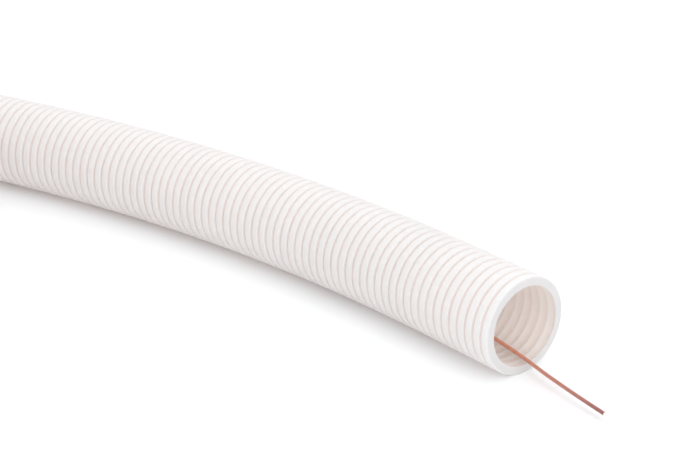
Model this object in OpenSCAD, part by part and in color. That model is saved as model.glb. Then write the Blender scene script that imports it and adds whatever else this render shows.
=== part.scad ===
// Coil of corrugated conduit, 10 m long, with its free end led out over the floor
// and the pull wire that comes in it. Millimetres. +Z is up, Z = 0 is the floor,
// and the origin is on the coil's axis.

/* [Conduit] */
// Outside diameter, over the ribs
conduit_d = 32; // [30:1:40]
// Inside diameter, inside the grooves
bore_d = 26; // [18:1:28]
// Thickness of the corrugated wall
wall = 0.6; // [0.4:0.1:0.8]
// Distance from one rib to the next
rib_pitch = 3.5; // [3:0.5:6]
// Width of the groove between two ribs
groove_w = 0.9; // [0.6:0.1:1.2]

/* [Coil] */
// Diameter of the coil at the middle of its turns
coil_d = 535; // [400:5:700]
// Space between neighbouring turns
turn_gap = 0.6; // [0.2:0.2:2]
// Height of the web that stands for the touching ribs between two turns
web_h = 12; // [6:1:20]

/* [Free end] */
// Bend radius of the stretch that leaves the coil, at its middle
lead_bend_r = 594; // [500:1:900]
// Angle that the stretch turns through before it runs straight
lead_turn = 50.25; // [20:0.25:70]
// Number of ribs on the straight stretch at the cut end
end_ribs = 9; // [4:1:20]

/* [Ties] */
// Width of a strap
tie_w = 15; // [8:1:25]
// Thickness of a strap
tie_t = 0.8; // [0.4:0.1:1.2]
// Space between a strap and the turns
tie_gap = 0.3; // [0.1:0.1:0.6]

/* [Pull wire] */
// Diameter of the wire
wire_d = 1.2; // [0.8:0.1:2]

/* [Hidden] */
$fn = 96;

conduit_r = conduit_d / 2;
bore_r = bore_d / 2;
turn_pitch = conduit_d + turn_gap;

// Radius of each ring of turns, from the inside out, and height of each layer
inner_r = coil_d / 2 - turn_pitch;
middle_r = coil_d / 2;
outer_r = coil_d / 2 + turn_pitch;
low_z = conduit_r;
high_z = low_z + turn_pitch;

// The free end leaves the coil at +Y, bends about this centre and then runs straight
lead_from = 90;
bend_centre_y = outer_r - lead_bend_r;
straight_len = end_ribs * rib_pitch + wall;
overlap = 0.01;

// Where the free end has come clear of the outer turn, with some room between them
lead_room = 6;
clear_r = outer_r + conduit_d + lead_room;
clear_angle = asin((pow(clear_r, 2) + pow(bend_centre_y, 2) - pow(lead_bend_r, 2))
  / (2 * clear_r * bend_centre_y));

// The bottom outer turn starts where the free end leaves, and stops clear of it. The
// top outer turn stops at the conduit's other cut end.
bottom_outer_sweep = 360 - lead_from + clear_angle;
top_outer_from = 18;
top_outer_sweep = 301.4;

// Places of the straps round the coil, and the shallow seat of each under it
tie_angles = [110, 205, 300];
tie_lift = 0.1;
tie_seat = tie_lift + tie_t + tie_gap;

// Route of the pull wire, from the coil's face through the bore to its bare tip
wire_route = [
  [0, 305, 5.2], [26, 304.5, 5.2], [52, 303, 5.2], [78, 300, 5.2],
  [104, 296, 5.2], [130, 291, 5.2], [155, 284.5, 5.2], [180.5, 277.5, 5.2],
  [205, 269, 5.2], [229.5, 259.5, 5.2], [253.5, 249, 5.2], [277, 237.5, 5.2],
  [300, 224.5, 5.2], [322, 211.5, 5.2], [343.5, 197, 5.2], [364.5, 182, 5.2],
  [385, 165.5, 5.2], [404.5, 148, 5.2], [423, 130, 5.2], [441, 111, 5.1],
  [450.5, 100.5, 4.9], [459.5, 89.5, 4.7], [469, 76.8, 4.4], [476.5, 65.4, 4],
  [483.4, 53.4, 3.6], [490.9, 41.5, 3.1], [498.2, 30.7, 2.6]
];
wire_sides = 8;
wire_steps = 3;

// Section of one turn, a circle in the plane of radius and height
module turn_section(r, z) {
  translate([r, z]) circle(r = conduit_r);
}

// The web that fills the coil's section between two radii and two heights of turns
module web_section(r_from, r_to, z_from, z_to) {
  translate([r_from, z_from - web_h / 2]) square([r_to - r_from, z_to - z_from + web_h]);
}

// The two inner rings of both layers, which go all the way round
module full_rings() {
  rotate_extrude() {
    for (r = [inner_r, middle_r], z = [low_z, high_z]) turn_section(r, z);
    web_section(inner_r, middle_r, low_z, high_z);
  }
}

// The outer turn of one layer, with the web that joins it to the rings inside it
module outer_turn(z, from_angle, sweep) {
  rotate([0, 0, from_angle]) rotate_extrude(angle = sweep) {
    turn_section(outer_r, z);
    web_section(middle_r, outer_r, z, z);
  }
}

// The seat that a strap presses into the underside of the turns
module tie_seat_cut() {
  r_from = inner_r - conduit_d;
  r_to = outer_r + conduit_d;
  translate([r_from, -tie_w / 2 - tie_gap, -tie_seat])
    cube([r_to - r_from, tie_w + 2 * tie_gap, 2 * tie_seat]);
}

module coiled_turns() {
  color("whitesmoke") difference() {
    union() {
      full_rings();
      outer_turn(low_z, lead_from, bottom_outer_sweep);
      outer_turn(high_z, top_outer_from, top_outer_sweep);
    }
    for (a = tie_angles) rotate([0, 0, a]) tie_seat_cut();
  }
}

// The plain envelope of the bent stretch, over its ribs and down to its bore
module bent_stretch() {
  translate([0, bend_centre_y, conduit_r]) rotate([0, 0, lead_from - lead_turn])
    rotate_extrude(angle = lead_turn) translate([lead_bend_r, 0]) difference() {
      circle(r = conduit_r);
      circle(r = bore_r);
    }
}

// Half section of the ribbed wall: length along Y, from the cut end at Y = 0
module ribbed_section() {
  difference() {
    translate([bore_r, 0]) square([conduit_r - bore_r, straight_len + overlap]);
    for (i = [0 : end_ribs - 1]) {
      translate([bore_r + wall, (i + 1) * rib_pitch - groove_w])
        square([conduit_r - bore_r, groove_w]);
      translate([0, i * rib_pitch + wall])
        square([conduit_r - wall, rib_pitch - groove_w - 2 * wall]);
    }
  }
}

// The straight stretch, with its real ribs, from the cut end back to the bend
module ribbed_stretch() {
  rotate_extrude() ribbed_section();
}

module free_end() {
  color("white") union() {
    bent_stretch();
    translate([0, bend_centre_y, conduit_r]) rotate([0, 0, lead_from - lead_turn])
      translate([lead_bend_r, -straight_len, 0]) rotate([-90, 0, 0]) ribbed_stretch();
  }
}

// A band round the section of the coil, with round corners and a flat foot
module band_outline(grow) {
  corner_r = conduit_r + tie_gap + grow;
  foot_z = tie_lift + tie_t - grow;
  difference() {
    union() {
      for (r = [inner_r, outer_r], z = [low_z, high_z]) translate([r, z]) circle(r = corner_r);
      translate([inner_r, low_z - corner_r])
        square([outer_r - inner_r, high_z - low_z + 2 * corner_r]);
      translate([inner_r - corner_r, low_z])
        square([outer_r - inner_r + 2 * corner_r, high_z - low_z]);
    }
    translate([inner_r - 2 * corner_r, foot_z - conduit_d])
      square([outer_r - inner_r + 4 * corner_r, conduit_d]);
  }
}

module strap(angle) {
  color("gainsboro") rotate([0, 0, angle]) rotate([90, 0, 0])
    linear_extrude(height = tie_w, center = true) difference() {
      band_outline(tie_t);
      band_outline(0);
    }
}

module tie_1() { strap(tie_angles[0]); }
module tie_2() { strap(tie_angles[1]); }
module tie_3() { strap(tie_angles[2]); }

// Point i of a route, held at its ends
function route_point(pts, i) = pts[min(max(i, 0), len(pts) - 1)];

// A smooth curve through the points a, b, c and d, at share t of the way from b to c
function between(a, b, c, d, t) =
  0.5 * (2 * b + (c - a) * t + (2 * a - 5 * b + 4 * c - d) * t * t
    + (3 * b - a - 3 * c + d) * t * t * t);

// All points of the smooth route, a few to each stretch between two of its own
function smooth_route(pts, steps) = concat(
  [for (i = [0 : len(pts) - 2], k = [0 : steps - 1])
    between(route_point(pts, i - 1), pts[i], pts[i + 1], route_point(pts, i + 2), k / steps)],
  [pts[len(pts) - 1]]
);

function unit(v) = v / norm(v);

// One ring of the tube, square to the route at point i
function ring(path, i, r, sides) =
  let (
    ahead = unit(route_point(path, i + 1) - route_point(path, i - 1)),
    side = unit(cross([0, 0, 1], ahead)),
    up = cross(ahead, side)
  )
  [for (k = [0 : sides - 1])
    path[i] + r * (cos(360 * k / sides) * side + sin(360 * k / sides) * up)];

// A closed tube of round section along a route
module tube_along(pts, r, sides, steps) {
  path = smooth_route(pts, steps);
  rings = len(path);
  points = [for (i = [0 : rings - 1]) each ring(path, i, r, sides)];
  walls = [for (i = [0 : rings - 2], k = [0 : sides - 1])
    let (n = (k + 1) % sides)
    [i * sides + k, (i + 1) * sides + k, (i + 1) * sides + n, i * sides + n]];
  start = [for (k = [0 : sides - 1]) k];
  finish = [for (k = [sides - 1 : -1 : 0]) (rings - 1) * sides + k];
  polyhedron(points = points, faces = concat(walls, [start, finish]));
}

module pull_wire() {
  color("peru") tube_along(wire_route, wire_d / 2, wire_sides, wire_steps);
}

coiled_turns();
free_end();
pull_wire();
tie_1();
tie_2();
tie_3();
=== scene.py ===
"""Looks of a 10 m coil of corrugated conduit, its led-out cut end and its pull wire.

The conduit is one length of stock. Its centreline runs from the cut end, along the
stretch that lies on the floor, and then through the six turns of the tied coil.
Everything is in metres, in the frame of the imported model.
"""

import logging
import math
from dataclasses import dataclass, replace
from enum import Enum
from typing import Any, Iterable, Sequence

import bpy
import numpy as np
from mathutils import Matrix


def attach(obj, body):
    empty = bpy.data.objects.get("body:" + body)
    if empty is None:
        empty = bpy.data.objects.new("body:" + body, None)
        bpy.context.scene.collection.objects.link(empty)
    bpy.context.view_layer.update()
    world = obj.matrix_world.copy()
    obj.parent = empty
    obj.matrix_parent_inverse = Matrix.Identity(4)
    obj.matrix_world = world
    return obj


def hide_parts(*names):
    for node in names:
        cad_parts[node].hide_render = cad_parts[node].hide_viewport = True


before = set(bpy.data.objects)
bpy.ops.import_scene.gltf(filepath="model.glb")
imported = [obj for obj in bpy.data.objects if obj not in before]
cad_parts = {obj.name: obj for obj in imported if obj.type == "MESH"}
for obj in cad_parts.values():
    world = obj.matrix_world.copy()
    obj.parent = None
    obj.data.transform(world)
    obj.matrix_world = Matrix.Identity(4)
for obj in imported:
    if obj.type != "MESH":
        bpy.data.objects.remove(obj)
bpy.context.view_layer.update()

log = logging.getLogger("conduit_coil")

BODY = "root"
MM = 0.001
FULL_TURN = 2 * math.pi
UP = (0.0, 0.0, 1.0)
# Tilt of a camera or a lamp that looks level, in degrees
LEVEL = 90.0
# Part of its range in which nearly all of a noise lies
NOISE_MIDDLE = (0.3, 0.7)
MERGE_DISTANCE = 0.001 * MM
# The faces at the wire's ends have more corners than this
SIDE_FACE_CORNERS = 4

Object = bpy.types.Object
Material = bpy.types.Material
Point = tuple[float, float, float]
RGB = tuple[float, float, float]
Range = tuple[float, float]


# --- The stock and how it lies ---


def eased(share: Any) -> Any:
    """A share from 0 to 1, eased at both ends."""
    return 0.5 - 0.5 * np.cos(math.pi * share)


@dataclass(frozen=True)
class Stock:
    """Sizes of the corrugated conduit.

    Attributes:
        outer_r: Radius over the ribs.
        bore_r: Radius of the bore.
        pitch: Distance from one rib to the next.
        groove: Width of a groove.
        ribs: Number of ribs.
    """

    outer_r: float = 16.0 * MM
    bore_r: float = 13.0 * MM
    pitch: float = 3.5 * MM
    groove: float = 0.9 * MM
    ribs: int = 2857

    @property
    def length(self) -> float:
        """The whole conduit, from one cut end to the other."""
        return self.ribs * self.pitch

    @property
    def crown(self) -> float:
        """Width of a rib's crown."""
        return self.pitch - self.groove


class Slot(Enum):
    """The radius at which a turn lies, in turn pitches from the middle one."""

    INNER = -1
    MIDDLE = 0
    OUTER = 1


class Layer(Enum):
    """The layer in which a turn lies."""

    BOTTOM = 0
    TOP = 1


@dataclass(frozen=True)
class Turn:
    """One turn of the coil, up to where the next one takes over.

    Attributes:
        name: Name of the piece.
        slot: Radius at which it lies.
        layer: Layer in which it lies.
        leaves_at: Angle from the coil's start at which it begins to move over.
    """

    name: str
    slot: Slot
    layer: Layer
    leaves_at: float


@dataclass(frozen=True)
class Winding:
    """The way that the conduit is wound, in two layers of three turns.

    Angles are in degrees: that of the coil's start from +X, that within which a turn
    moves over to the next place, and the step from one point to the next.
    """

    mean_r: float = 267.5 * MM
    turn_pitch: float = 32.6 * MM
    low_z: float = 16.0 * MM
    starts_at: float = 90.0
    move_over: float = 60.0
    step: float = 0.4
    turns: tuple[Turn, ...] = (
        Turn("turn_bottom_outer", Slot.OUTER, Layer.BOTTOM, 290.0),
        Turn("turn_bottom_middle", Slot.MIDDLE, Layer.BOTTOM, 650.0),
        Turn("turn_bottom_inner", Slot.INNER, Layer.BOTTOM, 994.0),
        Turn("turn_top_inner", Slot.INNER, Layer.TOP, 1338.0),
        Turn("turn_top_middle", Slot.MIDDLE, Layer.TOP, 1698.0),
        Turn("turn_top_outer", Slot.OUTER, Layer.TOP, 2040.0),
    )

    def radius(self, slot: Slot) -> float:
        """Radius of the centreline in a slot."""
        return self.mean_r + slot.value * self.turn_pitch

    def height(self, layer: Layer) -> float:
        """Height of the centreline in a layer."""
        return self.low_z + layer.value * self.turn_pitch

    @property
    def angles(self) -> np.ndarray:
        """Angle from the coil's start to each point of the centreline, in degrees."""
        return np.arange(0.0, self.turns[-1].leaves_at, self.step)

    def centreline(self) -> np.ndarray:
        """Points through all six turns, from where the led-out end meets the coil.

        Returns:
            An array of points, one to each step of the winding angle.
        """
        radius = np.full(self.angles.shape, self.radius(self.turns[0].slot))
        height = np.full(self.angles.shape, self.height(self.turns[0].layer))
        for here, ahead in zip(self.turns, self.turns[1:]):
            share = eased(np.clip((self.angles - here.leaves_at) / self.move_over, 0.0, 1.0))
            radius += (self.radius(ahead.slot) - self.radius(here.slot)) * share
            height += (self.height(ahead.layer) - self.height(here.layer)) * share
        turned = np.radians(self.starts_at + self.angles)
        return np.column_stack((radius * np.cos(turned), radius * np.sin(turned), height))


@dataclass(frozen=True)
class LeadOut:
    """The stretch that leaves the coil: a wide bend, then straight to the cut end.

    Attributes:
        start: Where its centreline meets the coil.
        bend_r: Radius of the bend.
        bend_angle: Angle of the bend, in degrees.
        straight: Length of the straight stretch.
    """

    start: Point = (0.0, 300.1 * MM, 16.0 * MM)
    bend_r: float = 594.0 * MM
    bend_angle: float = 50.25
    straight: float = 32.1 * MM

    @property
    def length(self) -> float:
        """Length along the centreline."""
        return self.straight + self.bend_r * math.radians(self.bend_angle)

    def centreline(self, step: float = 2.0 * MM) -> np.ndarray:
        """Evenly spaced points from the cut end to the coil.

        Args:
            step: Rough distance between points.

        Returns:
            An array of points, both ends included.
        """
        count = math.ceil(self.length / step)
        past_straight = self.length * np.arange(count + 1) / count - self.straight
        turned = math.radians(self.bend_angle) - np.maximum(past_straight, 0.0) / self.bend_r
        ahead = np.maximum(-past_straight, 0.0)
        x = self.bend_r * np.sin(turned) + ahead * np.cos(turned)
        y = self.bend_r * (np.cos(turned) - 1.0) - ahead * np.sin(turned)
        return np.column_stack((x, y, np.zeros(count + 1))) + self.start


def lengths_along(points: np.ndarray) -> np.ndarray:
    """Length from the first point of a line to each of its points."""
    steps = np.linalg.norm(np.diff(points, axis=0), axis=1)
    return np.concatenate(([0.0], np.cumsum(steps)))


@dataclass(frozen=True)
class ConduitRun:
    """The whole conduit's centreline: the led-out end, then the coil."""

    stock: Stock = Stock()
    lead_out: LeadOut = LeadOut()
    winding: Winding = Winding()

    def centreline(self) -> np.ndarray:
        """Points from the led-out cut end to the coil's own cut end."""
        line = np.vstack((self.lead_out.centreline()[:-1], self.winding.centreline()))
        along = lengths_along(line)
        cut = [np.interp(self.stock.length, along, values) for values in line.T]
        return np.vstack((line[along < self.stock.length], cut))

    def turn_starts(self) -> list[int]:
        """Number of ribs from the cut end to the start of each turn, and to the end."""
        along = self.lead_out.length + lengths_along(self.winding.centreline())
        ends = [turn.leaves_at + self.winding.move_over for turn in self.winding.turns[:-1]]
        lengths = [self.lead_out.length, *np.interp(ends, self.winding.angles, along)]
        return [round(float(length) / self.stock.pitch) for length in lengths] + [self.stock.ribs]


# --- Node trees ---


def opaque(colour: RGB) -> tuple[float, float, float, float]:
    """A colour with full alpha."""
    return (*colour, 1.0)


class NodeTree:
    """A node tree under construction, for geometry or for a material."""

    def __init__(self, tree: Any) -> None:
        """Wraps a tree and empties it."""
        self.tree = tree
        self.tree.nodes.clear()

    def node(self, kind: str, inputs: dict[Any, Any] | None = None, **settings: Any) -> Any:
        """Adds a node, sets it and joins its inputs.

        Args:
            kind: The node's type.
            inputs: Values or output sockets, by input name or number.
            settings: The node's own properties.

        Returns:
            The new node.
        """
        made = self.tree.nodes.new(kind)
        for name, value in settings.items():
            setattr(made, name, value)
        for name, value in (inputs or {}).items():
            self.join(value, made.inputs[name])
        return made

    def out(self, kind: str, inputs: dict[Any, Any] | None = None, **settings: Any) -> Any:
        """Adds a node and gives its first output."""
        return self.node(kind, inputs, **settings).outputs[0]

    def join(self, value: Any, socket: Any) -> None:
        """Links an output socket to an input, or sets the input's value."""
        if isinstance(value, bpy.types.NodeSocket):
            self.tree.links.new(value, socket)
        else:
            socket.default_value = value

    def math(self, operation: str, *values: Any) -> Any:
        """Output of a math node."""
        return self.out("ShaderNodeMath", dict(enumerate(values)), operation=operation)

    def vector(self, operation: str, *values: Any) -> Any:
        """Output of a vector math node whose result is a vector."""
        return self.out("ShaderNodeVectorMath", dict(enumerate(values)), operation=operation)

    def scaled(self, direction: Any, amount: Any) -> Any:
        """A direction times a number."""
        return self.out("ShaderNodeVectorMath", {0: direction, "Scale": amount}, operation="SCALE")


class GeometryTree(NodeTree):
    """A Geometry Nodes tree with named inputs, ending in realized, dressed geometry."""

    def __init__(self, name: str) -> None:
        """Starts an empty tree.

        Args:
            name: Name of the tree.
        """
        super().__init__(bpy.data.node_groups.new(name, "GeometryNodeTree"))
        sockets = self.tree.interface
        sockets.new_socket("Geometry", in_out="OUTPUT", socket_type="NodeSocketGeometry")
        self.inputs = self.tree.nodes.new("NodeGroupInput")

    def input(self, name: str, kind: str = "Float") -> Any:
        """Adds a named input and gives its socket inside the tree."""
        self.tree.interface.new_socket(name, in_out="INPUT", socket_type="NodeSocket" + kind)
        return self.inputs.outputs[name]

    def object_geometry(self, name: str) -> Any:
        """Geometry of the object given as a named input."""
        source = self.input(name, "Object")
        return self.node("GeometryNodeObjectInfo", {"Object": source}).outputs["Geometry"]

    def along_x(self, length: Any, across: float = 0.0) -> Any:
        """A vector of a length along X and of another along Y and Z."""
        return self.out("ShaderNodeCombineXYZ", {"X": length, "Y": across, "Z": across})

    def lengths(self, line: Any) -> tuple[Any, Any]:
        """Length along a line up to each of its points, and from there to its end."""
        at = self.node("GeometryNodeSplineParameter").outputs["Length"]
        return at, self.math("SUBTRACT", self.out("GeometryNodeCurveLength", {"Curve": line}), at)

    def store(self, geometry: Any, name: str, value: Any, domain: str = "POINT") -> Any:
        """Stores a number under a name, at each point or on each face."""
        inputs = {"Geometry": geometry, "Name": name, "Value": value}
        kind = "GeometryNodeStoreNamedAttribute"
        return self.out(kind, inputs, data_type="FLOAT", domain=domain)

    def drawn(self, line: Any, section: Any) -> Any:
        """Draws a section along a line, with closed ends."""
        inputs = {"Curve": line, "Profile Curve": section, "Fill Caps": True}
        return self.out("GeometryNodeCurveToMesh", inputs)

    def finish(self, geometry: Any) -> None:
        """Ends the tree in Realize Instances and Set Material."""
        realized = self.out("GeometryNodeRealizeInstances", {"Geometry": geometry})
        inputs = {"Geometry": realized, "Material": self.input("Material", "Material")}
        dressed = self.out("GeometryNodeSetMaterial", inputs)
        self.node("NodeGroupOutput", {"Geometry": dressed})

    def build(self, name: str, values: dict[str, Any]) -> Object:
        """Runs the tree once and keeps its result as a plain mesh.

        Args:
            name: Name of the new object.
            values: Value of each named input.

        Returns:
            The object, with no modifier left on it.
        """
        seed = bpy.data.meshes.new("seed")
        made = new_object(name, seed)
        modifier = made.modifiers.new("shape", "NODES")
        modifier.node_group = self.tree
        sockets = {s.name: s for s in self.tree.interface.items_tree if s.in_out == "INPUT"}
        for label, value in values.items():
            modifier[sockets[label].identifier] = value
        graph = bpy.context.evaluated_depsgraph_get()
        mesh = bpy.data.meshes.new_from_object(made.evaluated_get(graph))
        made.modifiers.clear()
        made.data = mesh
        mesh.name = name
        bpy.data.meshes.remove(seed)
        return made


def new_object(name: str, data: Any) -> Object:
    """Makes an object at the origin and adds it to the scene."""
    made = bpy.data.objects.new(name, data)
    bpy.context.scene.collection.objects.link(made)
    return made


def new_mesh(name: str, points: Sequence[Point], faces: Sequence[Sequence[int]]) -> bpy.types.Mesh:
    """Makes a mesh from points and faces."""
    mesh = bpy.data.meshes.new(name)
    mesh.from_pydata(points, [], faces)
    mesh.update()
    return mesh


def line_object(name: str, points: np.ndarray) -> Object:
    """Makes a curve object of one straight-sided spline.

    Args:
        name: Name of the object.
        points: The spline's points.

    Returns:
        The curve object.
    """
    curve = bpy.data.curves.new(name, "CURVE")
    curve.dimensions = "3D"
    spline = curve.splines.new("POLY")
    spline.points.add(len(points) - 1)
    spline.points.foreach_set("co", np.column_stack((points, np.ones(len(points)))).ravel())
    return new_object(name, curve)


def remove(objects: Iterable[Object]) -> None:
    """Deletes objects that were only used to make others."""
    for made in objects:
        bpy.data.objects.remove(made)


# --- Finishes ---


class MaterialTree(NodeTree):
    """A material's node tree, with the steps that the finishes share."""

    def __init__(self, name: str) -> None:
        """Starts an empty material.

        Args:
            name: Name of the material.
        """
        self.material = bpy.data.materials.new(name)
        self.material.use_nodes = True
        super().__init__(self.material.node_tree)

    def attribute(self, name: str) -> Any:
        """A number that is stored on the mesh under a name."""
        return self.node("ShaderNodeAttribute", attribute_name=name).outputs["Fac"]

    def noise(self, scale: float, detail: float) -> Any:
        """Noise that goes with the object."""
        place = self.node("ShaderNodeTexCoord").outputs["Object"]
        inputs = {"Vector": place, "Scale": scale, "Detail": detail}
        return self.node("ShaderNodeTexNoise", inputs).outputs["Fac"]

    def ranged(self, value: Any, to: Range, source: Range = (0.0, 1.0)) -> Any:
        """A value moved from one range into another."""
        ends = {"From Min": source[0], "From Max": source[1], "To Min": to[0], "To Max": to[1]}
        return self.out("ShaderNodeMapRange", {"Value": value, **ends})

    def mix(self, share: Any, first: Any, second: Any) -> Any:
        """Mixes two colours, each a socket or a constant, by a share."""
        ends = [opaque(c) if isinstance(c, tuple) else c for c in (first, second)]
        made = self.node("ShaderNodeMix", {0: share, 6: ends[0], 7: ends[1]}, data_type="RGBA")
        return made.outputs[2]

    def bump(self, height: Any, strength: float, distance: float) -> Any:
        """A normal that is tilted by fine relief."""
        inputs = {"Height": height, "Strength": strength, "Distance": distance}
        return self.out("ShaderNodeBump", inputs)

    def finish(self, shader: Any) -> Material:
        """Ends the tree in a surface shader and gives the material."""
        self.node("ShaderNodeOutputMaterial", {"Surface": shader})
        return self.material


@dataclass(frozen=True)
class ConduitPlastic:
    """Thin-walled satin white plastic, with a painted warm glow, standing for light through the
    thin wall, where its wall is seen edge-on.

    Attributes:
        crown: Colour of the ribs' crowns.
        groove: Colour at the bottom of the grooves, pink as a painted glow of light through the
            thin wall.
        inside: Colour of the bore, between the ridges, warm as a painted glow of light through the
            wall.
        ridge: Colour of the bore's ridges, where the wall is thinnest, lighter as painted light
            through the wall.
        rim: Colour of the cut face, darker and cooler than the crowns as painted shade.
        tone: Brightness of its faint clouds.
        roughness: Roughness, from the smoothest clouds to the roughest.
        through: Share of light that passes right through the outer wall.
        through_bore: The same for the bore's side of the wall.
    """

    crown: RGB = (0.977, 0.989, 0.997)
    groove: RGB = (0.99, 0.87, 0.83)
    inside: RGB = (0.956, 0.907, 0.87)
    ridge: RGB = (0.99, 0.975, 0.96)
    rim: RGB = (0.81, 0.815, 0.83)
    tone: Range = (0.985, 1.0)
    roughness: Range = (0.37, 0.49)
    through: float = 0.32
    through_bore: float = 0.55

    def material(self) -> Material:
        """Builds the material."""
        nodes = MaterialTree("conduit_plastic")
        cloud = nodes.noise(scale=45.0, detail=3.0)
        grain = nodes.noise(scale=2600.0, detail=2.0)
        depth, bore, cut = (nodes.attribute(name) for name in ("groove", "inside", "rim"))
        # Painted glow: pink towards the bottoms of the grooves, for light through the thin wall.
        outer = nodes.mix(depth, self.crown, self.groove)
        # Painted glow: the bore warm, and lighter on its ridges, for light through the wall.
        inner = nodes.mix(depth, self.inside, self.ridge)
        # Painted shade: the cut face darker and cooler than the crowns.
        colour = nodes.mix(cut, nodes.mix(bore, outer, inner), self.rim)
        toned = nodes.scaled(colour, nodes.ranged(cloud, self.tone, NOISE_MIDDLE))
        inputs = {
            "Base Color": toned,
            "Roughness": nodes.ranged(cloud, self.roughness),
            "Normal": nodes.bump(grain, strength=0.10, distance=0.05 * MM),
            "IOR": 1.46,
        }
        wall = nodes.out("ShaderNodeBsdfPrincipled", inputs)
        glow = nodes.out("ShaderNodeBsdfTranslucent", {"Color": toned})
        through = nodes.ranged(bore, (self.through, self.through_bore))
        return nodes.finish(nodes.out("ShaderNodeMixShader", {0: through, 1: wall, 2: glow}))


@dataclass(frozen=True)
class DrawnCopper:
    """Copper-coloured drawn wire, darker towards its tip and bright where it is cut.

    Attributes:
        near_colour: Colour inside the conduit.
        tip_colour: Colour of the stretch in the open, towards its tip.
        cut: Colour of the cut end.
        tone: Brightness of its blotches.
        roughness: Roughness, from the smoothest blotches to the roughest.
        metal: Share of its light that it mirrors as bare metal does.
    """

    near_colour: RGB = (0.80, 0.36, 0.25)
    tip_colour: RGB = (0.34, 0.135, 0.125)
    cut: RGB = (0.95, 0.82, 0.74)
    tone: Range = (0.9, 1.08)
    roughness: Range = (0.26, 0.42)
    metal: float = 0.4

    def material(self) -> Material:
        """Builds the material."""
        nodes = MaterialTree("coppered_wire")
        blotch = nodes.noise(scale=420.0, detail=4.0)
        # The colour turns darker and browner over the last stretch to its tip.
        tipward_colour = nodes.mix(nodes.attribute("dulled"), self.near_colour, self.tip_colour)
        toned = nodes.scaled(tipward_colour, nodes.ranged(blotch, self.tone, NOISE_MIDDLE))
        inputs = {
            "Base Color": nodes.mix(nodes.attribute("cut"), toned, self.cut),
            "Metallic": self.metal,
            "Roughness": nodes.ranged(blotch, self.roughness),
        }
        return nodes.finish(nodes.out("ShaderNodeBsdfPrincipled", inputs))


@dataclass(frozen=True)
class StrapPlastic:
    """Pale polypropylene strap with a fine embossed lozenge pattern.

    Attributes:
        colour: Colour of the strap.
        tone: Brightness, from the bottom of the pattern to its top, as painted shade in its
            hollows.
        lozenge: Size of the embossed lozenges.
    """

    colour: RGB = (0.70, 0.71, 0.70)
    tone: Range = (0.90, 1.0)
    lozenge: float = 1.6 * MM

    def material(self) -> Material:
        """Builds the material."""
        nodes = MaterialTree("strap_plastic")
        along, across, weld = (nodes.attribute(name) for name in ("along", "across", "weld"))
        waves = []
        for slant in ("ADD", "SUBTRACT"):
            place = nodes.math(slant, along, across)
            phase = nodes.math("MULTIPLY", place, FULL_TURN / self.lozenge)
            waves.append(nodes.math("ABSOLUTE", nodes.math("SINE", phase)))
        emboss = nodes.math("MAXIMUM", nodes.math("MINIMUM", *waves), weld)
        # Painted shade: the colour darkens into the pattern's hollows.
        inputs = {
            "Base Color": nodes.scaled(self.colour, nodes.ranged(emboss, self.tone)),
            "Roughness": 0.35,
            "Normal": nodes.bump(emboss, strength=0.6, distance=0.12 * MM),
            "IOR": 1.49,
        }
        return nodes.finish(nodes.out("ShaderNodeBsdfPrincipled", inputs))


@dataclass(frozen=True)
class StudioFloor:
    """A pale floor that reads as white and keeps the object's shadow.

    Attributes:
        colour: Colour that lights the object from below.
        seen: Its colour to the camera and in reflections, a little cool so that the
            shadow, which the conduit warms, stays neutral.
    """

    colour: RGB = (0.9, 0.9, 0.9)
    seen: RGB = (0.995, 1.02, 1.038)

    def material(self) -> Material:
        """Builds the material."""
        nodes = MaterialTree("studio_floor")
        path = nodes.node("ShaderNodeLightPath").outputs
        direct = nodes.math("MAXIMUM", path["Is Camera Ray"], path["Is Glossy Ray"])
        seen = nodes.math("MAXIMUM", direct, path["Is Transmission Ray"])
        lit = nodes.out("ShaderNodeBsdfDiffuse", {"Color": opaque(self.colour)})
        white = nodes.out("ShaderNodeBsdfDiffuse", {"Color": opaque(self.seen)})
        return nodes.finish(nodes.out("ShaderNodeMixShader", {0: seen, 1: lit, 2: white}))


# --- Shapes of the conduit's wall ---


@dataclass(frozen=True)
class WallPoint:
    """One point of the wall's section.

    Attributes:
        along: Place along the conduit.
        radius: Distance from its centreline.
        groove: 0 on a crown, 1 at the bottom of a groove and on the ridge behind it.
        inside: 1 on the bore's side of the wall.
        rim: 1 on a cut face.
    """

    along: float
    radius: float
    groove: float = 0.0
    inside: float = 0.0
    rim: float = 0.0


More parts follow.
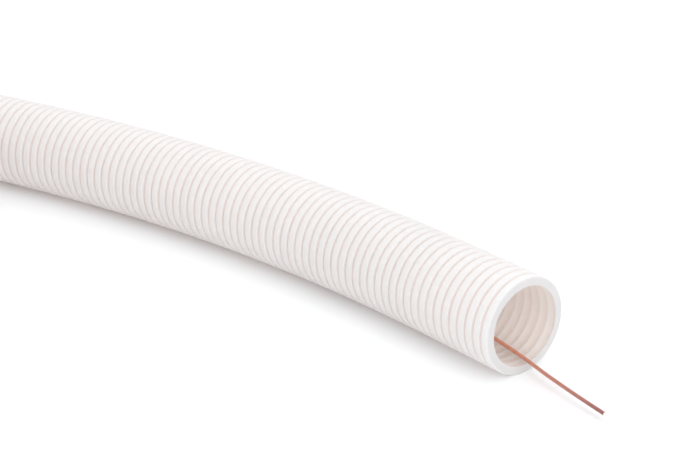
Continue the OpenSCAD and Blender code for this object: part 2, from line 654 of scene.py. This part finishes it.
@dataclass(frozen=True)
class WallShapes:
    """Sections of the conduit's wall, each turned into a short ring.

    Attributes:
        stock: Sizes of the conduit.
        segments: Facets round it.
        wave_depth: Depth of the waves inside the bore.
        wave_power: How sharply a wave rises to its ridges, 1 being a plain sine.
        wave_steps: Steps to one wave.
    """

    stock: Stock
    segments: int
    wave_depth: float = 1.5 * MM
    wave_power: float = 1.2
    wave_steps: int = 8

    def ring(self, name: str, section: Sequence[WallPoint]) -> Object:
        """Turns a section about the X axis into an open ring.

        Args:
            name: Name of the object.
            section: Points of the section, with the plastic on their right.

        Returns:
            A mesh object with the attributes groove, inside and rim.
        """
        angles = np.arange(self.segments) * FULL_TURN / self.segments
        points = [
            (p.along, p.radius * math.cos(a), p.radius * math.sin(a))
            for p in section for a in angles
        ]
        faces = []
        for i in range(len(section) - 1):
            for j in range(self.segments):
                k = (j + 1) % self.segments
                here, there = i * self.segments, (i + 1) * self.segments
                faces.append((here + j, here + k, there + k, there + j))
        mesh = new_mesh(name, points, faces)
        for label in ("groove", "inside", "rim"):
            values = np.repeat([getattr(p, label) for p in section], self.segments)
            mesh.attributes.new(label, "FLOAT", "POINT").data.foreach_set("value", values)
        return new_object(name, mesh)

    def fine_rib(self) -> list[WallPoint]:
        """One rib seen close up: a softly rounded crown and a narrow groove."""
        s = self.stock
        c, r = s.crown, s.outer_r
        shoulder = [
            WallPoint(0.0, r - 0.90 * MM, 0.5),
            WallPoint(0.03 * MM, r - 0.28 * MM, 0.12),
            WallPoint(0.15 * MM, r - 0.07 * MM),
            WallPoint(0.50 * MM, r - 0.012 * MM),
        ]
        falling = [replace(p, along=c - p.along) for p in reversed(shoulder)]
        groove = [
            WallPoint(c + 0.15 * MM, r - 1.15 * MM, 1.0),
            WallPoint(c + s.groove / 2, r - 1.30 * MM, 1.0),
            WallPoint(s.pitch - 0.15 * MM, r - 1.15 * MM, 1.0),
        ]
        return [*shoulder, *falling, *groove, replace(shoulder[0], along=s.pitch)]

    def coarse_rib(self) -> list[WallPoint]:
        """One rib of the coil, with only the points that its shape needs."""
        s = self.stock
        c, r = s.crown, s.outer_r
        return [
            WallPoint(0.0, r - 0.40 * MM, 0.2),
            WallPoint(0.25 * MM, r),
            WallPoint(c - 0.25 * MM, r),
            WallPoint(c, r - 0.40 * MM, 0.2),
            WallPoint(c + s.groove / 2, r - 1.10 * MM, 1.0),
            WallPoint(s.pitch, r - 0.40 * MM, 0.2),
        ]

    def inner_rib(self) -> list[WallPoint]:
        """One rib from inside the bore: a shallow smooth wave between two ridges."""
        points = []
        for i in range(self.wave_steps, -1, -1):
            share = i / self.wave_steps
            recess = math.sin(math.pi * share) ** self.wave_power
            radius = self.stock.bore_r + self.wave_depth * recess
            points.append(WallPoint(self.stock.pitch * share, radius, 1.0 - recess, 1.0))
        return points

    def sleeve(self) -> list[WallPoint]:
        """A unit length of plain bore, deep inside where nothing shows."""
        return [WallPoint(at, self.stock.bore_r, inside=1.0) for at in (1.0, 0.0)]

    def mouth(self, rib: Sequence[WallPoint]) -> list[WallPoint]:
        """The cut end: a crisp inner edge, a flat rim, a soft shoulder and half a rib.

        Args:
            rib: The section of a whole rib.

        Returns:
            Points from the bore out and on to where the second rib begins.
        """
        bore, r = self.stock.bore_r, self.stock.outer_r
        rim = [
            WallPoint(0.0, bore, inside=1.0),
            WallPoint(0.0, bore + 0.15 * MM, inside=0.2, rim=0.8),
            WallPoint(0.0, r - 1.50 * MM, rim=1.0),
            WallPoint(0.0, r - 0.75 * MM, rim=1.0),
            WallPoint(0.10 * MM, r - 0.40 * MM, rim=0.5),
            WallPoint(0.32 * MM, r - 0.14 * MM),
            WallPoint(0.75 * MM, r),
        ]
        return rim + [p for p in rib if p.along > self.stock.crown / 2]

    def end(self, rib: Sequence[WallPoint], cut: bool) -> list[WallPoint]:
        """An end, out from the bore: a mouth where it is cut, else a square joint."""
        joint = [WallPoint(0.0, self.stock.bore_r, inside=1.0), WallPoint(0.0, rib[0].radius, 0.5)]
        return self.mouth(rib) if cut else joint


def ribbed_tree() -> GeometryTree:
    """Builds the tree that rows up rings of wall and bends them along the conduit."""
    nodes = GeometryTree("ribbed_conduit")

    def row(label: str, stretched: bool = False) -> Any:
        """Rows up a ring by its count, spacing and start, each a named input."""
        ring = nodes.object_geometry(label)
        spacing = nodes.input(label + " spacing")
        inputs = {
            "Count": nodes.input(label + " count", "Int"),
            "Start Location": nodes.along_x(nodes.input(label + " start")),
            "Offset": nodes.along_x(spacing),
        }
        line = nodes.out("GeometryNodeMeshLine", inputs)
        scale = nodes.along_x(spacing if stretched else 1.0, across=1.0)
        inputs = {"Points": line, "Instance": ring, "Scale": scale}
        return nodes.out("GeometryNodeInstanceOnPoints", inputs)

    everything = nodes.node("GeometryNodeJoinGeometry")
    parts = [row("Rib"), row("Inner rib"), row("Sleeve", stretched=True)]
    parts += [nodes.object_geometry("Near end"), nodes.object_geometry("Far end")]
    for part in parts:
        nodes.join(part, everything.inputs[0])
    straight = nodes.out("GeometryNodeRealizeInstances", {"Geometry": everything.outputs[0]})
    inputs = {"Geometry": straight, "Distance": MERGE_DISTANCE}
    merged = nodes.out("GeometryNodeMergeByDistance", inputs)

    place = nodes.out("GeometryNodeInputPosition")
    split = nodes.node("ShaderNodeSeparateXYZ", {"Vector": place}).outputs
    inputs = {
        "Curves": nodes.object_geometry("Centreline"),
        "Length": nodes.math("ADD", split["X"], nodes.input("Start")),
    }
    sample = nodes.node("GeometryNodeSampleCurve", inputs, mode="LENGTH", use_all_curves=True)
    ahead = sample.outputs["Tangent"]
    side = nodes.vector("NORMALIZE", nodes.vector("CROSS_PRODUCT", UP, ahead))
    up = nodes.vector("CROSS_PRODUCT", ahead, side)
    across = nodes.vector("ADD", nodes.scaled(side, split["Y"]), nodes.scaled(up, split["Z"]))
    position = nodes.vector("ADD", sample.outputs["Position"], across)
    bent = nodes.out("GeometryNodeSetPosition", {"Geometry": merged, "Position": position})
    nodes.finish(nodes.out("GeometryNodeSetShadeSmooth", {"Geometry": bent}))
    return nodes


@dataclass
class ConduitPiece:
    """A stretch of the conduit, from one rib to another.

    Attributes:
        name: Name of the piece.
        first_rib: Number of ribs from the led-out cut end to its start.
        last_rib: Number of ribs from the led-out cut end to its end.
        segments: Facets round it.
        fine: Whether its ribs are seen close up.
        open_near: Ribs whose inside shows at its near end, if that is cut.
        open_far: Ribs whose inside shows at its far end, if that is cut.
        sleeve_step: Rough length of each step of the plain bore between them.
        stock: Sizes of the conduit.
    """

    name: str
    first_rib: int
    last_rib: int
    segments: int
    fine: bool = False
    open_near: int = 0
    open_far: int = 0
    sleeve_step: float = 14.0 * MM
    stock: Stock = Stock()

    @property
    def ribs(self) -> int:
        """Number of ribs on the piece."""
        return self.last_rib - self.first_rib

    @property
    def length(self) -> float:
        """Length of the piece."""
        return self.ribs * self.stock.pitch

    def build(self, tree: GeometryTree, centreline: Object, finish: Material) -> Object:
        """Makes the piece's mesh.

        Args:
            tree: The tree that bends rows of rings.
            centreline: Curve of the whole conduit.
            finish: The piece's material.

        Returns:
            The piece, closed and at its place.
        """
        shapes = WallShapes(self.stock, self.segments)
        rib = shapes.fine_rib() if self.fine else shapes.coarse_rib()
        cut_near, cut_far = self.open_near > 0, self.open_far > 0
        far_end = reversed(shapes.end(rib, cut_far))
        sections = {
            "Rib": rib,
            "Inner rib": shapes.inner_rib(),
            "Sleeve": shapes.sleeve(),
            "Near end": shapes.end(rib, cut_near),
            "Far end": [replace(p, along=self.length - p.along) for p in far_end],
        }
        rings = {label: shapes.ring(label, section) for label, section in sections.items()}
        pitch = self.stock.pitch
        sleeve_from, sleeve_to = self.open_near * pitch, self.length - self.open_far * pitch
        sleeve_length = sleeve_to - sleeve_from
        sleeves = max(1, round(sleeve_length / self.sleeve_step))
        rows = {
            "Rib": (self.ribs - cut_near - cut_far, pitch, cut_near * pitch),
            "Inner rib": (self.open_near + self.open_far, pitch, 0.0 if cut_near else sleeve_to),
            "Sleeve": (sleeves, sleeve_length / sleeves, sleeve_from),
        }
        values = {**rings, "Centreline": centreline, "Start": self.first_rib * pitch}
        values["Material"] = finish
        for label, (count, spacing, start) in rows.items():
            values[label + " count"] = count
            values[label + " spacing"] = spacing
            values[label + " start"] = start
        made = tree.build(self.name, values)
        remove(rings.values())
        return made


# --- Sub-assemblies ---


def report(piece: Object) -> None:
    """Logs a finished piece."""
    mesh = piece.data
    mesh.calc_loop_triangles()
    log.info("%s: %d triangles", piece.name, len(mesh.loop_triangles))


@dataclass
class Conduit:
    """The corrugated conduit: its led-out end and the turns of the coil.

    Attributes:
        run: The conduit's centreline and sizes.
        end_segments: Facets round the led-out end.
        coil_segments: Facets round a turn of the coil.
        shown_inside: Ribs whose inside shows at the led-out cut end.
        shown_inside_far: Ribs whose inside shows at the coil's cut end.
        sleeve_step: Rough length of each step of the led-out end's plain bore.
        cord_step: Rough distance between the points of a path along the led-out end, which is
            worked out but not used.
    """

    run: ConduitRun = ConduitRun()
    end_segments: int = 48
    coil_segments: int = 26
    shown_inside: int = 24
    shown_inside_far: int = 12
    sleeve_step: float = 6.0 * MM
    cord_step: float = 14.0 * MM

    def build(self, finish: Material) -> list[Object]:
        """Makes the led-out end and the six turns, and attaches them to the root body.

        Args:
            finish: The conduit's material.

        Returns:
            The pieces, the led-out end first.
        """
        tree = ribbed_tree()
        centreline = line_object("conduit_centreline", self.run.centreline())
        starts = self.run.turn_starts()
        plans = [
            ConduitPiece(
                "led_out_end", 0, starts[0], self.end_segments,
                fine=True, open_near=self.shown_inside, sleeve_step=self.sleeve_step,
            )
        ]
        for turn, first, last in zip(self.run.winding.turns, starts, starts[1:]):
            far = self.shown_inside_far if last == starts[-1] else 0
            plans.append(ConduitPiece(turn.name, first, last, self.coil_segments, open_far=far))
        pieces = [plan.build(tree, centreline, finish) for plan in plans]
        remove([centreline])
        for piece in pieces:
            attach(piece, BODY)
            report(piece)
        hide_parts("free_end")
        for piece in pieces[1:]:
            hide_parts("coiled_turns")
        self.declare()
        return pieces

    def declare(self) -> None:
        lead_out = self.run.lead_out
        path = [tuple(p) for p in reversed(lead_out.centreline(step=self.cord_step))]


ROUTE_OF_WIRE: tuple[Point, ...] = (
    (0.0, 0.305, 0.0052), (0.026, 0.3045, 0.0052), (0.052, 0.303, 0.0052),
    (0.078, 0.3, 0.0052), (0.104, 0.296, 0.0052), (0.13, 0.291, 0.0052),
    (0.155, 0.2845, 0.0052), (0.1805, 0.2775, 0.0052), (0.205, 0.269, 0.0052),
    (0.2295, 0.2595, 0.0052), (0.2535, 0.249, 0.0052), (0.277, 0.2375, 0.0052),
    (0.3, 0.2245, 0.0052), (0.322, 0.2115, 0.0052), (0.3435, 0.197, 0.0052),
    (0.3645, 0.182, 0.0052), (0.385, 0.1655, 0.0052), (0.4045, 0.148, 0.0052),
    (0.423, 0.13, 0.0052), (0.441, 0.111, 0.0051), (0.4505, 0.1005, 0.0049),
    (0.4595, 0.0895, 0.0047), (0.469, 0.0768, 0.0044), (0.4765, 0.0654, 0.004),
    (0.4834, 0.0534, 0.0036), (0.4909, 0.0415, 0.0031), (0.4982, 0.0307, 0.0026),
)


def smooth_route(points: Sequence[Point], steps: int) -> np.ndarray:
    """A smooth curve through a route's points.

    Args:
        points: The route.
        steps: Number of steps between two of its points.

    Returns:
        The curve's points, both ends included.
    """
    p = np.array([points[0], *points, points[-1]])
    curve = []
    for a, b, c, d in zip(p, p[1:], p[2:], p[3:]):
        for t in np.arange(steps) / steps:
            bend = (2 * a - 5 * b + 4 * c - d) * t * t + (3 * b - a - 3 * c + d) * t**3
            curve.append(0.5 * (2 * b + (c - a) * t + bend))
    return np.array(curve + [p[-1]])


@dataclass
class PullWire:
    """The copper-coloured pull wire, from the coil out through the mouth to its tip.

    Attributes:
        diameter: Diameter of the wire.
        sides: Facets round it.
        route: Its route, from the coil to the tip.
        steps: Steps between two points of the route.
        darkens_over: Length over which it darkens towards its tip.
        cord_steps: The same as steps, for a path of the wire; not used.
    """

    diameter: float = 1.2 * MM
    sides: int = 14
    route: tuple[Point, ...] = ROUTE_OF_WIRE
    steps: int = 8
    darkens_over: float = 46.0 * MM
    cord_steps: int = 2

    def tree(self) -> GeometryTree:
        """Builds the tree that draws a round wire along its route."""
        nodes = GeometryTree("drawn_wire")
        line = nodes.object_geometry("Route")
        _, to_tip = nodes.lengths(line)
        share = nodes.math("DIVIDE", to_tip, nodes.input("Dulls over"))
        inputs = {0: 1.0, 1: share}
        dulled = nodes.out("ShaderNodeMath", inputs, operation="SUBTRACT", use_clamp=True)
        inputs = {"Resolution": nodes.input("Sides", "Int"), "Radius": nodes.input("Radius")}
        circle = nodes.out("GeometryNodeCurvePrimitiveCircle", inputs)
        wire = nodes.drawn(nodes.store(line, "dulled", dulled), circle)
        corners = nodes.node("GeometryNodeInputMeshFaceNeighbors").outputs["Vertex Count"]
        is_end = nodes.math("GREATER_THAN", corners, SIDE_FACE_CORNERS)
        ended = nodes.store(wire, "cut", is_end, domain="FACE")
        inputs = {"Geometry": ended, "Selection": nodes.math("SUBTRACT", 1.0, is_end)}
        nodes.finish(nodes.out("GeometryNodeSetShadeSmooth", inputs))
        return nodes

    def build(self, finish: Material) -> Object:
        """Args:
            finish: The wire's material.

        Returns:
            The wire.
        """
        points = smooth_route(self.route, self.steps)
        route = line_object("wire_route", points)
        values = {
            "Route": route,
            "Radius": self.diameter / 2,
            "Sides": self.sides,
            "Dulls over": self.darkens_over,
            "Material": finish,
        }
        wire = self.tree().build("copper_pull_wire", values)
        remove([route])
        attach(wire, BODY)
        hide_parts("pull_wire")
        report(wire)
        return wire


@dataclass(frozen=True)
class Strap:
    """A band of strapping round the coil's section, overlapped and welded to itself.

    Attributes:
        node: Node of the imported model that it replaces.
        angle: Its place round the coil, in degrees from +X.
        width: Width of the strapping.
        thick: Thickness of the strapping.
        gap: Space between it and the turns.
        foot_z: Height of its underside under the coil.
        start: Height of its start over the bottom turns' middle.
        overlap: Height of its end over the bottom turns' middle.
        lap_gap: Space between its end and its start, on which it lies.
        weld_from: Length between its end and the weld's beginning.
        weld_to: Length between its end and the weld's end.
        edge_r: Radius of its long edges.
    """

    node: str
    angle: float
    width: float = 15.0 * MM
    thick: float = 0.8 * MM
    gap: float = 0.3 * MM
    foot_z: float = 0.1 * MM
    start: float = 2.0 * MM
    overlap: float = 30.0 * MM
    lap_gap: float = 0.02 * MM
    weld_from: float = 24.0 * MM
    weld_to: float = 8.0 * MM
    edge_r: float = 0.2 * MM

    @property
    def outward(self) -> Point:
        """Direction from the coil's axis to the band."""
        turned = math.radians(self.angle)
        return (math.cos(turned), math.sin(turned), 0.0)

    @property
    def across(self) -> Point:
        """Direction along the coil, across the band."""
        return (-self.outward[1], self.outward[0], 0.0)

    def outline(self, winding: Winding, steps: int = 18) -> np.ndarray:
        """Middle line of the band, as distances from the coil's axis and heights.

        Args:
            winding: How the coil is wound.
            steps: Steps round each corner.

        Returns:
            Points from the start, once round and on to the end that overlaps it.
        """
        r = winding.low_z + self.gap + self.thick / 2
        foot = self.foot_z + self.thick / 2
        low, high = winding.height(Layer.BOTTOM), winding.height(Layer.TOP)
        near, far = winding.radius(Slot.INNER), winding.radius(Slot.OUTER)
        cut = math.asin((low - foot) / r)
        quarter = math.pi / 2

        def corner(x: float, z: float, start: float, end: float, lift: float = 0.0) -> np.ndarray:
            """An arc about a corner, that moves out by a lift towards its end."""
            share = np.arange(steps + 1) / steps
            turned = start + (end - start) * share
            out = r + lift * eased(share)
            return np.column_stack((x + out * np.cos(turned), z + out * np.sin(turned)))

        lap = self.thick + self.lap_gap
        return np.vstack((
            (far + r, low + self.start),
            corner(far, high, 0.0, quarter),
            corner(near, high, quarter, 2 * quarter),
            corner(near, low, 2 * quarter, 2 * quarter + cut),
            corner(far, low, -cut, 0.0, lap),
            (far + r + lap, low + self.overlap),
        ))

    def path(self, winding: Winding) -> np.ndarray:
        """Points of the band's middle line in the shared frame."""
        out, height = self.outline(winding).T
        return np.outer(out, self.outward) + np.outer(height, UP)

    def build(self, tree: GeometryTree, winding: Winding, finish: Material) -> Object:
        """Makes the band in place of its node.

        Args:
            tree: The tree that draws a band.
            winding: How the coil is wound.
            finish: The band's material.

        Returns:
            The band.
        """
        line = line_object("strap_line", self.path(winding))
        values = {
            "Middle line": line,
            "Across": self.across,
            "Width": self.width,
            "Thickness": self.thick,
            "Edge radius": self.edge_r,
            "Weld from": self.weld_from,
            "Weld to": self.weld_to,
            "Material": finish,
        }
        band = tree.build(self.node.replace("tie", "strap"), values)
        remove([line])
        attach(band, BODY)
        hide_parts(self.node)
        report(band)
        return band


@dataclass(frozen=True)
class Straps:
    """The three straps that hold the coil.

    Attributes:
        straps: The straps.
        seat: Height to which each presses the turns over it.
        room: Space between a strap's edge and the turns.
        edge_steps: Steps round each of a strap's long edges.
    """

    straps: tuple[Strap, ...] = (
        Strap("tie_1", 110.0), Strap("tie_2", 205.0), Strap("tie_3", 300.0)
    )
    seat: float = 1.2 * MM
    room: float = 0.3 * MM
    edge_steps: int = 2

    def tree(self) -> GeometryTree:
        """Builds the tree that draws a band of round-edged section along its line."""
        nodes = GeometryTree("strap_band")
        line = nodes.object_geometry("Middle line")
        across = nodes.input("Across", "Vector")
        at, to_end = nodes.lengths(line)
        begun = nodes.math("LESS_THAN", to_end, nodes.input("Weld from"))
        ended = nodes.math("GREATER_THAN", to_end, nodes.input("Weld to"))
        inputs = {"Curve": line, "Normal": across}
        turned = nodes.out("GeometryNodeSetCurveNormal", inputs, mode="FREE")
        marked = nodes.store(turned, "along", at)
        marked = nodes.store(marked, "weld", nodes.math("MULTIPLY", begun, ended))
        inputs = {"Width": nodes.input("Width"), "Height": nodes.input("Thickness")}
        outline = nodes.out("GeometryNodeCurvePrimitiveQuadrilateral", inputs)
        edge_r = nodes.input("Edge radius")
        inputs = {"Curve": outline, "Count": self.edge_steps, "Radius": edge_r}
        section = nodes.out("GeometryNodeFilletCurve", inputs, mode="POLY")
        inputs = {0: nodes.out("GeometryNodeInputPosition"), 1: across}
        beside = nodes.node("ShaderNodeVectorMath", inputs, operation="DOT_PRODUCT")
        band = nodes.drawn(marked, section)
        nodes.finish(nodes.store(band, "across", beside.outputs["Value"]))
        return nodes

    def press(self, turns: Iterable[Object]) -> None:
        """Flattens the undersides of the turns where a strap runs under them."""
        for turn in turns:
            vertices = turn.data.vertices
            at = np.empty(len(vertices) * 3, dtype=np.float32)
            vertices.foreach_get("co", at)
            at = at.reshape(-1, 3)
            for strap in self.straps:
                out = at @ np.array(strap.outward)
                beside = np.abs(at @ np.array(strap.across))
                near = (out > 0.0) & (beside < strap.width / 2 + self.room)
                at[near & (at[:, 2] < self.seat), 2] = self.seat
            vertices.foreach_set("co", at.ravel())
            turn.data.update()

    def build(self, winding: Winding, finish: Material) -> list[Object]:
        """Makes the straps."""
        tree = self.tree()
        return [strap.build(tree, winding, finish) for strap in self.straps]


def aim(looker: Object, down: float, left: float) -> None:
    """Turns a lamp or a camera to look down by an angle, and left of +Y by another."""
    looker.rotation_euler = (math.radians(LEVEL - down), 0.0, math.radians(left))


@dataclass(frozen=True)
class Lamp:
    """A soft distant lamp.

    Attributes:
        name: Name of the lamp.
        azimuth: Direction in which it stands, in degrees from +X towards +Y.
        elevation: Its height above the horizon, in degrees.
        spread: Width of its disc as the object sees it, in degrees.
        share: Share of the floor's light that it gives.
    """

    name: str
    azimuth: float
    elevation: float
    spread: float
    share: float

    def build(self) -> None:
        """Adds the lamp."""
        data = bpy.data.lights.new(self.name, "SUN")
        data.angle = math.radians(self.spread)
        data.energy = self.share * math.pi / math.sin(math.radians(self.elevation))
        lamp = new_object(self.name, data)
        aim(lamp, self.elevation, self.azimuth + LEVEL)


@dataclass(frozen=True)
class Studio:
    """The pale floor, the soft light and the camera.

    The camera's angles, down and left of +Y, are in degrees, and its lens and its sensor
    are in millimetres. Light between the thin white walls needs its many bounces.
    """

    floor_size: float = 12.0
    eye: Point = (0.423388, -0.470495, 0.275224)
    look_down: float = 23.1256
    look_left: float = 0.157
    lens: float = 103.02
    sensor: float = 36.0
    sky: float = 0.92
    bounces: int = 16
    lamps: tuple[Lamp, ...] = (
        Lamp("front_lamp", azimuth=-62.0, elevation=30.0, spread=45.0, share=0.09),
        Lamp("top_lamp", azimuth=-90.0, elevation=80.0, spread=40.0, share=0.09),
        Lamp("back_lamp", azimuth=100.0, elevation=45.0, spread=50.0, share=0.07),
    )

    def build(self) -> None:
        """Adds the camera, the floor and the light."""
        self.camera()
        self.floor()
        self.light()

    def camera(self) -> None:
        """Adds the camera and makes it the scene's own."""
        data = bpy.data.cameras.new("camera")
        data.lens = self.lens
        data.sensor_width = self.sensor
        data.clip_start = 0.01
        data.clip_end = 50.0
        camera = new_object("camera", data)
        camera.location = self.eye
        aim(camera, self.look_down, self.look_left)
        bpy.context.scene.camera = camera

    def floor(self) -> None:
        """Adds a wide floor under the object."""
        half = self.floor_size / 2
        corners = [(-half, -half, 0.0), (half, -half, 0.0), (half, half, 0.0), (-half, half, 0.0)]
        floor = new_object("floor", new_mesh("floor", corners, [(0, 1, 2, 3)]))
        floor.data.materials.append(StudioFloor().material())

    def light(self) -> None:
        """Lights the object from an even sky and from the soft lamps."""
        scene = bpy.context.scene
        world = bpy.data.worlds.new("studio")
        world.use_nodes = True
        nodes = NodeTree(world.node_tree)
        sky = nodes.out("ShaderNodeBackground", {"Color": opaque((1.0,) * 3), "Strength": self.sky})
        nodes.node("ShaderNodeOutputWorld", {"Surface": sky})
        scene.world = world
        scene.view_settings.view_transform = "Standard"
        scene.cycles.max_bounces = self.bounces
        scene.cycles.diffuse_bounces = scene.cycles.transmission_bounces = self.bounces
        for lamp in self.lamps:
            lamp.build()


def main() -> None:
    """Builds the studio, then the conduit, its wire and its straps."""
    logging.basicConfig(level=logging.INFO, format="%(name)s: %(message)s")
    Studio().build()
    conduit = Conduit()
    pieces = conduit.build(ConduitPlastic().material())
    PullWire().build(DrawnCopper().material())
    straps = Straps()
    straps.press(pieces[1:])
    straps.build(conduit.run.winding, StrapPlastic().material())


if __name__ == "__main__":
    main()
